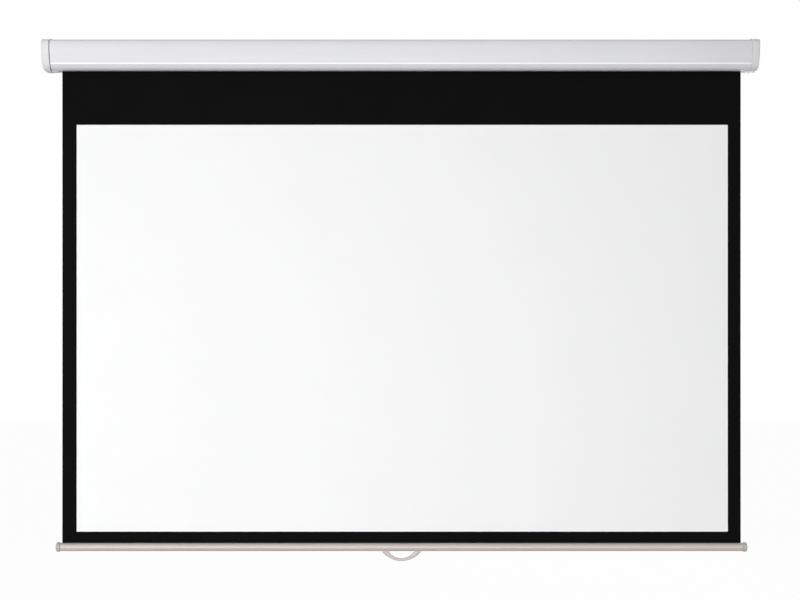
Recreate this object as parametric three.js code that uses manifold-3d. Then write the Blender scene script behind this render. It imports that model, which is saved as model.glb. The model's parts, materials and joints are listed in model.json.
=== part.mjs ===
// Pull-down projector screen with an 84 inch viewing area at 16:10, shown pulled fully down.
// Sizes are in millimetres. X runs along the case, +Y points to the wall, and +Z is up.
// The origin is the middle of the case's flat back, which lies on the wall.
import * as THREE from 'three';
import { mergeVertices } from 'three/addons/utils/BufferGeometryUtils.js';
import Module from 'manifold-3d';

const wasm = await Module();
wasm.setup();

// Clearances and cuts
const seatGap = 0.3;
const runningGap = 0.25;
const cutOverrun = 5;

// Projection sheet: the viewing area and the black margins round it
const viewWidth = 1809;
const viewHeight = 1130;
const leftBorder = 40;
const rightBorder = 36;
const topDrop = 147.5;
const lowerBorder = 31;
const backingThickness = 0.4;
const faceThickness = 0.3;

// Case housing, a rolled section that is open along its underside and reaches past the sheet at both ends
const leftCaseMargin = 24;
const rightCaseMargin = 21;
const caseHeight = 82;
const caseDepth = 76;
const caseWall = 1.2;
const topFrontRadius = 8;
const faceFromTop = 12;
const faceRadius = 130;
const backRadius = 3;
const slotWidth = 18;
const lipHeight = 7;
const beadFromTop = 65;
const beadRadius = 3.2;
const beadProud = 0.9;

// Screw ports inside the housing and the screws that go into them
const portRadius = 4;
const portWeld = 0.8;
const portBore = 1.9;
const portFromBack = 14;
const screwRadius = 1.6;
const screwLength = 20;
const screwHeadRadius = 3.6;
const screwHeadHeight = 2.4;
const recessWidth = 1;
const recessDepth = 1.2;

// End caps
const capWidth = 21;
const capWall = 2;
const capLip = 1;
const capLowerLip = 1.8;
const leftCapGap = 2.4;
const rightCapGap = 0.5;
const capFrontRound = 4;
const capTopRound = 4;
const capLowerRound = 9;
const footReach = 17;
const footFromBack = 8;
const footCorner = 4;
const postRadius = 5.8;
const postLedge = 3;

// End brackets, with a rear flange that runs up into a hanging ear
const bracketThickness = 2;
const bracketInset = 1.5;
const flangeReach = 18.7;
const flangeLow = -30;
const earRise = 12.5;
const earHalfWidth = 6.5;
const earHole = 2.75;
const keyholeHead = 4.5;
const keyholeSlot = 2.25;
const keyholeRise = 9;
const keyholeZ = -18;

// Roller tube and the turns of fabric that always stay on it
const rollerFromBack = 42;
const rollerZ = 4;
const rollerRadius = 19;
const rollerWall = 1;
const leftRollerSpace = 14.8;
const rightRollerSpace = 7.3;
const wrapTurns = 2;
const wrapPitch = 0.9;

// Roller plugs
const plugFlangeRadius = 22.5;
const plugFlange = 3;
const plugLength = 25;
const plugWeb = 9;
const plugRim = 2.5;
const plugHub = 1.9;

// Spindle, its bush and the bearing plug that carries its inner end
const spindleRadius = 4;
const tangThickness = 4;
const tangLength = 6;
const spindleFromBracket = 1;
const spindleEnd = 20;
const bushWall = 1.25;
const bushFlange = 1.2;
const bushFlangeRadius = 8;
const bearingLength = 10;

// Torsion spring
const wireRadius = 1.1;
const coilRadius = 10;
const coilPitch = 9;
const coilTurns = 36;
const coilSteps = 8;
const coilSides = 5;
const coilStart = 1.6;
const anchorGrip = 20;
const anchorFlange = 4;
const anchorLug = 3;

// Ratchet collar, pawls and pawl studs
const collarRadius = 10;
const collarLength = 5.5;
const collarGap = 2;
const pawlPivotRadius = 16.25;
const pawlPivotAngle = THREE.MathUtils.degToRad(25);
const pawlEye = 4;
const pawlBand = 4.5;
const pawlThickness = 4.2;
const toothWidth = 3.2;
const toothClear = 0.5;
const toothEngage = THREE.MathUtils.degToRad(11);
const notchRamp = 4;
const studRadius = 2;
const studHeadRadius = 3.2;
const studHead = 1;
const studHole = 2.5;

// Gudgeon pin at the right end and its bush
const gudgeonRadius = 4;
const gudgeonDepth = 18;
const gudgeonReach = 9;
const gudgeonBushWall = 3;
const gudgeonBushFlange = 9;
const gudgeonBushRim = 1.4;
const gudgeonBushReach = 3.5;

// Weight bar, its caps, and what lies inside it
const barMargin = 5;
const barRadius = 11.5;
const barWall = 1.5;
const barSlot = 3;
const barCapRadius = 13.5;
const barCapLength = 12.5;
const barCapRim = 4;
const barCapNose = 9;
const barPlugLength = 14;
const barPlugTop = 2;
const splineRadius = 2.5;
const ballastRadius = 4;

// Pull handle and the cradles in the bar that it hangs in
const handleChord = 110;
const handleDrop = 26.5;
const handleArm = 20;
const handleGrip = 7.8;
const handleThickness = 8;
const handleBevel = 2.4;
const handleGap = 1;
const tongueWidth = 14;
const tongueThickness = 5;
const tongueTop = 3;
const tongueGap = 0.6;
const pivotFromBarBottom = 4.5;
const pivotRadius = 1.5;
const pivotLength = 26;
const cradleLength = 28;
const cradleTop = -1;
const cradleBridge = 2.4;
const handleSlot = 12;

// Facets
const smallCornerSteps = 3;
const faceSteps = 5;
const largeCornerSteps = 9;
const roundSides = 24;
const smallSides = 12;
const tubeSides = 40;
const wrapSteps = 28;
const capRoundSteps = 3;
const arcSteps = 12;

// Places that follow from the sizes above
const quarter = Math.PI / 2;
const sheetWidth = leftBorder + viewWidth + rightBorder;
const sheetShift = (leftCaseMargin - rightCaseMargin) / 2;
const viewShift = sheetShift + (leftBorder - rightBorder) / 2;
const caseLength = leftCaseMargin + sheetWidth + rightCaseMargin;
const barLength = sheetWidth + 2 * barMargin;
const caseEnd = caseLength / 2;
const caseTop = caseHeight / 2;
const caseBottom = -caseTop;
const faceTurn = Math.asin((beadFromTop - faceFromTop) / faceRadius);
const lowerFrontRadius = (caseHeight - beadFromTop) / (1 - Math.sin(faceTurn));
const rollerY = -rollerFromBack;
const rollerBore = rollerRadius - rollerWall;
const wrapOuterRadius = rollerRadius + seatGap + backingThickness + wrapTurns * wrapPitch;
const sheetY = rollerY + wrapOuterRadius + seatGap + backingThickness / 2;
const viewTop = caseBottom - topDrop;
const viewBottom = viewTop - viewHeight;
const barZ = viewBottom - lowerBorder - barRadius;
const barBore = barRadius - barWall;
const bracketOuter = seatGap + bracketThickness;
const plugRadius = rollerBore - seatGap;
const boreRadius = spindleRadius + runningGap;
const bushRadius = boreRadius + bushWall;
const hubBore = bushRadius + seatGap;
const leftPlugFace = caseEnd - leftRollerSpace + plugFlange + seatGap;
const rightPlugFace = caseEnd - rightRollerSpace + plugFlange + seatGap;
const leftTubeEnd = -(caseEnd - leftRollerSpace);
const rightTubeEnd = caseEnd - rightRollerSpace;
const collarFace = leftPlugFace + collarGap;
const handlePivotZ = -barRadius + pivotFromBarBottom;
const armCentre = (handleChord - handleArm) / 2;

// Materials
const finish = (color, roughness, metalness) =>
  new THREE.MeshStandardMaterial({ color, roughness, metalness });
const whitePaint = () => finish(0xe6e6ea, 0.45, 0);
const whiteMoulding = () => finish(0xe2e1e6, 0.5, 0);
const zincSteel = () => finish(0xa9adb2, 0.4, 0.9);
const darkSteel = () => finish(0x6f7276, 0.45, 0.9);
const springSteel = () => finish(0x55585c, 0.4, 0.9);
const nylon = () => finish(0xe9e6dc, 0.5, 0);
const greyMoulding = () => finish(0x9a9a98, 0.55, 0);
const satinAluminium = () => finish(0xcfc6c0, 0.35, 0.85);
const blackFabric = () => finish(0x121113, 0.85, 0);
const whiteFabric = () => finish(0xf6f6f6, 0.9, 0);
const handleMoulding = () => finish(0xc9c3bf, 0.4, 0);
const capMoulding = () => finish(0xb9b4b0, 0.45, 0.2);

// Turns a closed geometry into a solid whose faces point out
function solidOf(geometry) {
  const bare = new THREE.BufferGeometry();
  bare.setAttribute('position', geometry.getAttribute('position').clone());
  if (geometry.index) {
    bare.setIndex(geometry.index.clone());
  }
  const merged = mergeVertices(bare);
  const places = merged.getAttribute('position');
  const corners = merged.index.array;
  const point = (i) => new THREE.Vector3().fromBufferAttribute(places, i);
  const kept = [];
  let volume = 0;
  for (let i = 0; i < corners.length; i += 3) {
    const [a, b, c] = [corners[i], corners[i + 1], corners[i + 2]];
    if (a !== b && b !== c && c !== a) {
      kept.push([a, b, c]);
      volume += point(a).dot(point(b).cross(point(c)));
    }
  }
  const faces = volume < 0 ? kept.map(([a, b, c]) => [a, c, b]) : kept;
  return new wasm.Manifold(
    new wasm.Mesh({ numProp: 3, vertProperties: places.array, triVerts: new Uint32Array(faces.flat()) }),
  );
}

// Turns a solid back into a geometry
function geometryOf(solid) {
  const mesh = solid.getMesh();
  const geometry = new THREE.BufferGeometry();
  geometry.setAttribute('position', new THREE.BufferAttribute(Float32Array.from(mesh.vertProperties), 3));
  geometry.setIndex(new THREE.BufferAttribute(Uint32Array.from(mesh.triVerts), 1));
  geometry.computeVertexNormals();
  return geometry;
}

function named(name, solid, material) {
  const mesh = new THREE.Mesh(geometryOf(solid), material);
  mesh.name = name;
  return mesh;
}

function placed(object, x, y, z) {
  object.position.set(x, y, z);
  return object;
}

// A Y-Z section, extruded along X from start to end
const sectionAxes = new THREE.Matrix4().makeBasis(
  new THREE.Vector3(0, 1, 0),
  new THREE.Vector3(0, 0, 1),
  new THREE.Vector3(1, 0, 0),
);
function alongX(shape, start, end, curveSegments = arcSteps) {
  const depth = end - start;
  const geometry = new THREE.ExtrudeGeometry(shape, { depth, bevelEnabled: false, curveSegments });
  return solidOf(geometry.applyMatrix4(sectionAxes).translate(start, 0, 0));
}

function block(low, high) {
  const size = new THREE.Vector3().subVectors(high, low);
  const centre = new THREE.Vector3().addVectors(low, high).multiplyScalar(1 / 2);
  return solidOf(new THREE.BoxGeometry(size.x, size.y, size.z).translate(centre.x, centre.y, centre.z));
}

function rodAlongX(radius, start, end, y = 0, z = 0, sides = smallSides) {
  const geometry = new THREE.CylinderGeometry(radius, radius, end - start, sides).rotateZ(-quarter);
  return solidOf(geometry.translate((start + end) / 2, y, z));
}

// A closed profile of [x, radius] points, revolved about the X axis
function turned(profile, sides = roundSides) {
  const points = [...profile, profile[0]].map(([x, radius]) => new THREE.Vector2(radius, x));
  return solidOf(new THREE.LatheGeometry(points, sides).rotateZ(-quarter));
}

// Rings of equal point counts, skinned one after the other and closed at both ends by the same faces
function loft(rings, endFaces) {
  const count = rings[0].length;
  const index = [];
  for (let ring = 0; ring < rings.length - 1; ring += 1) {
    for (let i = 0; i < count; i += 1) {
      const [a, b] = [ring * count + i, ring * count + ((i + 1) % count)];
      index.push(a, b, b + count, a, b + count, a + count);
    }
  }
  const last = (rings.length - 1) * count;
  for (const [a, b, c] of endFaces) {
    index.push(c, b, a, last + a, last + b, last + c);
  }
  return solidOf(new THREE.BufferGeometry().setFromPoints(rings.flat()).setIndex(index));
}

// Arcs of the case's section, anticlockwise as seen from +X. The face is one long curve, and below the
// bead a tighter curve runs on from it to the underside.
const faceCentre = new THREE.Vector2(faceRadius - caseDepth, caseTop - faceFromTop);
const beadNormal = new THREE.Vector2(-Math.cos(faceTurn), -Math.sin(faceTurn));
const lowerCentre = faceCentre.clone().addScaledVector(beadNormal, faceRadius - lowerFrontRadius);
const arc = (centre, radius, from, to, steps) => ({ centre, radius, from, to, steps });
const backLow = new THREE.Vector2(-backRadius, caseBottom + backRadius);
const backHigh = new THREE.Vector2(-backRadius, caseTop - backRadius);
const frontHigh = new THREE.Vector2(topFrontRadius - caseDepth, caseTop - topFrontRadius);
const beadAngle = 2 * quarter + faceTurn;
const topFrontArc = arc(frontHigh, topFrontRadius, quarter, 2 * quarter, smallCornerSteps);
const lowerFrontArc = arc(lowerCentre, lowerFrontRadius, beadAngle, 3 * quarter, largeCornerSteps);
const caseArcs = [
  arc(backLow, backRadius, -quarter, 0, smallCornerSteps),
  arc(backHigh, backRadius, 0, quarter, smallCornerSteps),
  topFrontArc,
  arc(faceCentre, faceRadius, 2 * quarter, beadAngle, faceSteps),
  lowerFrontArc,
];

// Outline of the case's section, each side moved in by its own inset. Every point carries its outward normal.
function caseOutline({ front = 0, back = 0, top = 0, bottom = 0 } = {}) {
  return caseArcs.flatMap(({ centre, radius, from, to, steps }) => {
    const points = [];
    for (let i = from === beadAngle ? 1 : 0; i <= steps; i += 1) {
      const angle = from + ((to - from) * i) / steps;
      const [ny, nz] = [Math.cos(angle), Math.sin(angle)];
      const y = centre.x + ny * (radius - (ny < 0 ? front : back));
      const z = centre.y + nz * (radius - (nz > 0 ? top : bottom));
      points.push({ y, z, ny, nz });
    }
    return points;
  });
}

const allSides = (inset) => ({ front: inset, back: inset, top: inset, bottom: inset });
const shapeOf = (outline) => new THREE.Shape(outline.map((p) => new THREE.Vector2(p.y, p.z)));

// Centres of the four screw ports, each sunk a little into the wall beside it
function portCentres() {
  const inset = caseWall + portRadius - portWeld;
  const insideArc = ({ centre, radius, from, to }) => {
    const [reach, angle] = [Math.max(0, radius - inset), (from + to) / 2];
    return { y: centre.x + reach * Math.cos(angle), z: centre.y + reach * Math.sin(angle) };
  };
  return [
    insideArc(topFrontArc),
    { y: -portFromBack, z: caseTop - inset },
    { y: -inset, z: caseBottom + inset },
    insideArc(lowerFrontArc),
  ];
}

function caseHousing() {
  const outer = alongX(shapeOf(caseOutline()), -caseEnd, caseEnd);
  const inner = alongX(shapeOf(caseOutline(allSides(caseWall))), -caseEnd - cutOverrun, caseEnd + cutOverrun);
  const beadCentre = faceCentre.clone().addScaledVector(beadNormal, faceRadius + beadProud - beadRadius);
  const bead = rodAlongX(beadRadius, -caseEnd, caseEnd, beadCentre.x, beadCentre.y, roundSides);
  let housing = outer.add(bead).subtract(inner);
  for (const side of [-1, 1]) {
    const edge = sheetY + (side * slotWidth) / 2;
    const [lipLow, lipHigh] = side < 0 ? [edge - caseWall, edge] : [edge, edge + caseWall];
    housing = housing.add(
      block(
        new THREE.Vector3(-caseEnd, lipLow, caseBottom),
        new THREE.Vector3(caseEnd, lipHigh, caseBottom + lipHeight),
      ),
    );
  }
  for (const { y, z } of portCentres()) {
    housing = housing.add(rodAlongX(portRadius, -caseEnd, caseEnd, y, z, smallSides).intersect(outer));
  }
  for (const { y, z } of portCentres()) {
    housing = housing.subtract(rodAlongX(portBore, -caseEnd - cutOverrun, caseEnd + cutOverrun, y, z));
  }
  return housing.subtract(
    block(
      new THREE.Vector3(-caseEnd - cutOverrun, sheetY - slotWidth / 2, caseBottom - cutOverrun),
      new THREE.Vector3(caseEnd + cutOverrun, sheetY + slotWidth / 2, caseBottom + lipHeight + cutOverrun),
    ),
  );
}

// The end pieces are drawn with x = 0 at the end of the housing and +x outward; the left ones are mirrored.

// Skin of an end cap: straight walls from its mouth, then a rounding whose size follows each side
function capSkin(outline, mouth, end) {
  const rounding = ({ ny, nz }) => {
    const frontShare = Math.max(-ny, 0) ** 2;
    const heightRound = nz > 0 ? capTopRound : capLowerRound;
    return frontShare * capFrontRound + nz ** 2 * heightRound;
  };
  const rings = [outline.map(({ y, z }) => new THREE.Vector3(mouth, y, z))];
  for (let step = 0; step <= capRoundSteps; step += 1) {
    const angle = (step / capRoundSteps) * quarter;
    rings.push(
      outline.map((p) => {
        const round = rounding(p);
        const inset = round * (1 - Math.cos(angle));
        const y = p.y - Math.min(p.ny, 0) * inset;
        return new THREE.Vector3(end - round * (1 - Math.sin(angle)), y, p.z - p.nz * inset);
      }),
    );
  }
  return loft(rings, THREE.ShapeUtils.triangulateShape(shapeOf(outline).getPoints(), []));
}

// Foot of an end cap: a plate that reaches in under the housing and closes the end of its slot
function capFoot(gap) {
  const [front, back] = [lowerCentre.x, -footFromBack];
  const plan = new THREE.Shape();
  plan.moveTo(gap + capWall, back);
  plan.absarc(footCorner - footReach, back - footCorner, footCorner, quarter, 2 * quarter, false);
  plan.absarc(footCorner - footReach, front + footCorner, footCorner, 2 * quarter, 3 * quarter, false);
  plan.lineTo(gap + capWall, front);
  const flat = { depth: capLowerLip - seatGap, bevelEnabled: false, curveSegments: smallCornerSteps };
  return solidOf(new THREE.ExtrudeGeometry(plan, flat).translate(0, 0, caseBottom - capLowerLip));
}

function endCap(gap) {
  const end = gap + capWidth;
  const outer = capSkin(caseOutline({ front: -capLip, top: -capLip, bottom: -capLowerLip }), gap, end);
  const innerOutline = caseOutline({
    front: capWall - capLip,
    top: capWall - capLip,
    bottom: capWall - capLowerLip,
    back: capWall,
  });
  const cavity = capSkin(innerOutline, gap - cutOverrun, end - capWall);
  let cap = outer.subtract(cavity).add(capFoot(gap));
  const postStart = bracketOuter + seatGap;
  for (const { y, z } of portCentres()) {
    cap = cap.add(rodAlongX(postRadius, postStart, end - capWall / 2, y, z, roundSides).intersect(outer));
  }
  for (const { y, z } of portCentres()) {
    const headSeat = postStart + postLedge;
    cap = cap.subtract(rodAlongX(portBore, postStart - cutOverrun, end, y, z));
    cap = cap.subtract(rodAlongX(screwHeadRadius + runningGap, headSeat, end + cutOverrun, y, z, roundSides));
  }
  const pocketLow = new THREE.Vector3(gap - cutOverrun, -bracketThickness - seatGap, flangeLow - seatGap);
  const pocketHigh = new THREE.Vector3(seatGap + flangeReach + seatGap, cutOverrun, caseTop + cutOverrun);
  return cap.subtract(block(pocketLow, pocketHigh));
}

// Steel end bracket: a plate behind the cap, a rear flange with a keyhole, and an ear above the case
function endBracket(axleCut) {
  const plateOutline = caseOutline({ ...allSides(bracketInset), back: capWall + seatGap });
  let bracket = alongX(shapeOf(plateOutline), seatGap, bracketOuter);
  const flangeEnd = seatGap + flangeReach;
  const earTop = caseTop + earRise;
  const earZ = earTop - earHalfWidth;
  const earX = flangeEnd - earHalfWidth;
  const acrossY = (radius, x, z, sides = roundSides) =>
    solidOf(
      new THREE.CylinderGeometry(radius, radius, bracketThickness + 2 * cutOverrun, sides).translate(x, 0, z),
    );
  const flange = block(
    new THREE.Vector3(seatGap, -bracketThickness, flangeLow),
    new THREE.Vector3(flangeEnd, 0, caseTop - bracketInset),
  );
  const bend = block(
    new THREE.Vector3(seatGap, -capWall - seatGap - bracketThickness, flangeLow),
    new THREE.Vector3(bracketOuter, 0, caseTop - backRadius),
  );
  const neck = block(
    new THREE.Vector3(earX - earHalfWidth, -bracketThickness, flangeLow),
    new THREE.Vector3(flangeEnd, 0, earZ),
  );
  const slab = block(
    new THREE.Vector3(earX - earHalfWidth, -bracketThickness, earZ),
    new THREE.Vector3(flangeEnd, 0, earTop),
  );
  const ear = acrossY(earHalfWidth, earX, earZ).intersect(slab);
  const keyholeTop = keyholeZ + keyholeRise;
  const keyhole = acrossY(keyholeHead, earX, keyholeZ)
    .add(acrossY(keyholeSlot, earX, keyholeTop))
    .add(
      block(
        new THREE.Vector3(earX - keyholeSlot, -bracketThickness - cutOverrun, keyholeZ),
        new THREE.Vector3(earX + keyholeSlot, cutOverrun, keyholeTop),
      ),
    );
  bracket = bracket.add(bend).add(flange).add(neck).add(ear);
  bracket = bracket.subtract(keyhole).subtract(acrossY(earHole, earX, earZ)).subtract(axleCut);
  for (const { y, z } of portCentres()) {
    bracket = bracket.subtract(rodAlongX(portBore, -cutOverrun, bracketOuter + cutOverrun, y, z));
  }
  return bracket;
}

// Pan-head screw with a cross recess, its seat at x = 0 and its shank towards -x
function capScrew() {
  const dome = [];
  for (let i = 0; i <= smallCornerSteps; i += 1) {
    const angle = (i / smallCornerSteps) * quarter;
    dome.push([screwHeadHeight * Math.sin(angle), screwHeadRadius * Math.cos(angle)]);
  }
  const point = [-screwLength, 0];
  const shoulder = [screwRadius - screwLength, screwRadius];
  let screw = turned([point, shoulder, [0, screwRadius], [0, screwHeadRadius], ...dome.slice(1)], smallSides);
  const [halfWidth, halfReach] = [recessWidth / 2, screwHeadRadius / 2];
  for (const [halfY, halfZ] of [[halfWidth, halfReach], [halfReach, halfWidth]]) {
    screw = screw.subtract(
      block(
        new THREE.Vector3(screwHeadHeight - recessDepth, -halfY, -halfZ),
        new THREE.Vector3(screwHeadHeight + cutOverrun, halfY, halfZ),
      ),
    );
  }
  return screw;
}

// Cap, bracket and screws of one end, with the piece that the roller's axle goes through
function caseEndPieces(side, gap, axleCut) {
  const end = new THREE.Group();
  end.add(named(`${side}_end_cap`, endCap(gap), whiteMoulding()));
  end.add(named(`${side}_end_bracket`, endBracket(axleCut), zincSteel()));
  const screwSeat = bracketOuter + seatGap + postLedge + seatGap;
  portCentres().forEach(({ y, z }, i) => {
    const screw = named(`${side}_cap_screw_${i + 1}`, capScrew(), zincSteel());
    end.add(placed(screw, screwSeat, y, z));
  });
  return end;
}

function tangCut() {
  const [halfY, halfZ] = [tangThickness / 2 + seatGap, spindleRadius + seatGap];
  return block(
    new THREE.Vector3(-cutOverrun, rollerY - halfY, rollerZ - halfZ),
    new THREE.Vector3(bracketOuter + cutOverrun, rollerY + halfY, rollerZ + halfZ),
  );
}

function bushCut() {
  const radius = gudgeonRadius + runningGap + gudgeonBushWall + seatGap;
  return rodAlongX(radius, -cutOverrun, bracketOuter + cutOverrun, rollerY, rollerZ, roundSides);
}

// The roller's axis, as a point in sections that are drawn round it
const axis = new THREE.Vector2(0, 0);

// Roller tube, open at both ends
function rollerTube() {
  return turned(
    [
      [leftTubeEnd, rollerBore],
      [rightTubeEnd, rollerBore],
      [rightTubeEnd, rollerRadius],
      [leftTubeEnd, rollerRadius],
    ],
    tubeSides,
  );
}

// The last turns of fabric: a spiral whose outer end points down where the sheet leaves it
function fabricTurns() {
  const side = (offset) => {
    const points = [];
    for (let i = 0; i <= wrapTurns * wrapSteps; i += 1) {
      const turn = i / wrapSteps;
      const radius = wrapOuterRadius - backingThickness / 2 - wrapPitch * turn + offset;
      points.push(new THREE.Vector2(radius, 0).rotateAround(axis, turn * 2 * Math.PI));
    }
    return points;
  };
  const outline = [...side(backingThickness / 2), ...side(-backingThickness / 2).reverse()];
  return alongX(new THREE.Shape(outline), sheetShift - sheetWidth / 2, sheetShift + sheetWidth / 2);
}

// The roller's end pieces are drawn with x = 0 at the plug's outer face and +x outward.

// End plug: flange, rim that fits the tube, web and a hub round the bore
function rollerPlug(bore, hubLength) {
  const hub = bore + plugHub;
  return turned([
    [0, bore],
    [0, plugFlangeRadius],
    [-plugFlange, plugFlangeRadius],
    [-plugFlange, plugRadius],
    [-plugLength, plugRadius],
    [-plugLength, plugRadius - plugRim],
    [-plugWeb, plugRadius - plugRim],
    [-plugWeb, hub],
    [-hubLength, hub],
    [-hubLength, bore],
  ]);
}

const pawlPivot = new THREE.Vector2(pawlPivotRadius, 0).rotateAround(axis, pawlPivotAngle);

// The left plug has a hole for each pawl stud
function leftRollerPlug() {
  let plug = rollerPlug(hubBore, plugLength);
  for (const turn of [0, Math.PI]) {
    const centre = pawlPivot.clone().rotateAround(axis, turn);
    plug = plug.subtract(
      rodAlongX(studRadius + seatGap, -studHole, cutOverrun, centre.x, centre.y, smallSides),
    );
  }
  return plug;
}

// A pawl's tooth, or the notch that it drops into when the clearance is more than 0
function toothShape(clearance, ramp, height) {
  const [low, half] = [collarRadius + toothClear - clearance, toothWidth / 2 + clearance];
  return new THREE.Shape([
    new THREE.Vector2(-half, low),
    new THREE.Vector2(half, low),
    new THREE.Vector2(half + ramp, low + height),
    new THREE.Vector2(-half, low + height),
  ]);
}

// Curved pawl that swings on its stud: an eye, an arm that follows the collar, and a tooth
function pawl() {
  const half = pawlThickness / 2;
  const [inner, outer] = [pawlPivotRadius - pawlBand / 2, pawlPivotRadius + pawlBand / 2];
  const noseAngle = quarter + Math.asin(toothWidth / 2 / inner);
  const arm = new THREE.Shape();
  arm.absarc(0, 0, outer, pawlPivotAngle, noseAngle, false);
  arm.absarc(0, 0, inner, noseAngle, pawlPivotAngle, true);
  const eye = rodAlongX(pawlEye, -half, half, pawlPivot.x, pawlPivot.y, roundSides);
  const bore = rodAlongX(studRadius + runningGap, -cutOverrun, cutOverrun, pawlPivot.x, pawlPivot.y);
  const tooth = alongX(toothShape(0, 0, inner - collarRadius - toothClear + pawlBand / 2), -half, half);
  return alongX(arm, -half, half, largeCornerSteps).add(eye).add(tooth).subtract(bore);
}

// Ratchet collar fixed on the spindle. Each notch is the engaged tooth with its clearance and a ramp
// behind it.
function ratchetCollar() {
  let collar = rodAlongX(collarRadius, 0, collarLength, 0, 0, tubeSides);
  const notch = toothShape(toothClear, notchRamp, pawlBand);
  const swung = notch.getPoints().map((p) => p.clone().rotateAround(pawlPivot, toothEngage));
  for (const turn of [0, Math.PI]) {
    const points = swung.map((p) => p.clone().rotateAround(axis, turn));
    collar = collar.subtract(alongX(new THREE.Shape(points), -cutOverrun, collarLength + cutOverrun));
  }
  return collar.subtract(rodAlongX(spindleRadius + seatGap, -cutOverrun, collarLength + cutOverrun));
}

// Stud with a shoulder that holds the pawl off the plug and a head that keeps it on
function pawlStud() {
  const pawlMiddle = collarGap + collarLength / 2;
  const shoulder = pawlMiddle - pawlThickness / 2 - runningGap;
  const head = pawlMiddle + pawlThickness / 2 + runningGap;
  return turned(
    [
      [seatGap - studHole, 0],
      [seatGap - studHole, studRadius],
      [seatGap, studRadius],
      [seatGap, studHeadRadius],
      [shoulder, studHeadRadius],
      [shoulder, studRadius],
      [head, studRadius],
      [head, studHeadRadius],
      [head + studHead, studHeadRadius],
      [head + studHead, 0],
    ],
    smallSides,
  );
}

// Distances inward from the left plug's outer face to the spring and what holds its far end
const springStart = plugWeb + coilStart + wireRadius;
const springLength = coilTurns * coilPitch;
const anchorFace = springStart + springLength + wireRadius + coilStart;
const bearingFace = anchorFace + anchorFlange + coilStart;
const spindleReach = bearingFace + spindleEnd;

function spindle() {
  const start = caseEnd - spindleFromBracket - leftPlugFace;
  const rod = rodAlongX(spindleRadius, -spindleReach, start, 0, 0, roundSides);
  const tang = rodAlongX(spindleRadius, start - seatGap, start + tangLength, 0, 0, roundSides);
  const flats = block(
    new THREE.Vector3(start - tangLength, -tangThickness / 2, -spindleRadius),
    new THREE.Vector3(start + tangLength, tangThickness / 2, spindleRadius),
  );
  return rod.add(tang.intersect(flats));
}

function spindleBush() {
  return turned([
    [bushFlange + seatGap, boreRadius],
    [bushFlange + seatGap, bushFlangeRadius],
    [seatGap, bushFlangeRadius],
    [seatGap, bushRadius],
    [-plugLength, bushRadius],
    [-plugLength, boreRadius],
  ]);
}

// Collar on the spindle that grips the spring's last turns, with a lug that stops its tail
function springAnchor() {
  const flangeRadius = coilRadius + wireRadius + coilStart;
  const grip = coilRadius * Math.cos(Math.PI / coilSteps) - wireRadius - seatGap;
  const collar = turned([
    [-anchorFace + anchorGrip, spindleRadius + seatGap],
    [-anchorFace + anchorGrip, grip],
    [-anchorFace, grip],
    [-anchorFace, flangeRadius],
    [-anchorFace - anchorFlange, flangeRadius],
    [-anchorFace - anchorFlange, spindleRadius + seatGap],
  ]);
  const tailEnd = -2 * wireRadius - seatGap;
  const lug = block(
    new THREE.Vector3(-anchorFace - anchorFlange, coilRadius - wireRadius, tailEnd - anchorLug),
    new THREE.Vector3(-anchorFace + coilStart + 2 * wireRadius, coilRadius + wireRadius, tailEnd),
  );
  return collar.add(lug);
}

// Torsion spring: one unbroken wire that winds from the plug to the anchor, with a straight tail at each end.
// The least gap between its turns is measured on the points of its centre line.
function torsionSpring() {
  const path = [];
  const tail = 2 * wireRadius;
  const rise = coilPitch / (2 * Math.PI * coilRadius);
  const steps = coilTurns * coilSteps;
  for (let i = -1; i <= steps + 1; i += 1) {
    const onCoil = Math.min(Math.max(i, 0), steps);
    const angle = -(onCoil / coilSteps) * 2 * Math.PI;
    const radial = new THREE.Vector3(0, Math.cos(angle), Math.sin(angle));
    const along = new THREE.Vector3(-rise, Math.sin(angle), -Math.cos(angle)).normalize();
    const centre = radial.clone().multiplyScalar(coilRadius);
    centre.x = -springStart - (onCoil / coilSteps) * coilPitch;
    centre.addScaledVector(along, (i - onCoil) * tail);
    path.push({ centre, radial, binormal: new THREE.Vector3().crossVectors(along, radial) });
  }
  const rings = path.map(({ centre, radial, binormal }) => {
    const ring = [];
    for (let side = 0; side < coilSides; side += 1) {
      const turn = (side / coilSides) * 2 * Math.PI;
      const point = centre.clone().addScaledVector(radial, wireRadius * Math.cos(turn));
      ring.push(point.addScaledVector(binormal, wireRadius * Math.sin(turn)));
    }
    return ring;
  });
  let leastGap = Infinity;
  for (let a = 0; a < path.length; a += 1) {
    for (let b = a + coilSteps / 2; b < path.length; b += 1) {
      leastGap = Math.min(leastGap, path[a].centre.distanceTo(path[b].centre) - 2 * wireRadius);
    }
  }
  console.log(`torsion spring: least gap between its turns ${leastGap.toFixed(2)} mm`);
  const fan = Array.from({ length: coilSides - 2 }, (_, i) => [0, i + 1, i + 2]);
  return loft(rings, fan);
}

function bearingPlug() {
  return turned([
    [-bearingFace, boreRadius],
    [-bearingFace, plugRadius],
    [-bearingFace - bearingLength, plugRadius],
    [-bearingFace - bearingLength, boreRadius],
  ]);
}

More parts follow.
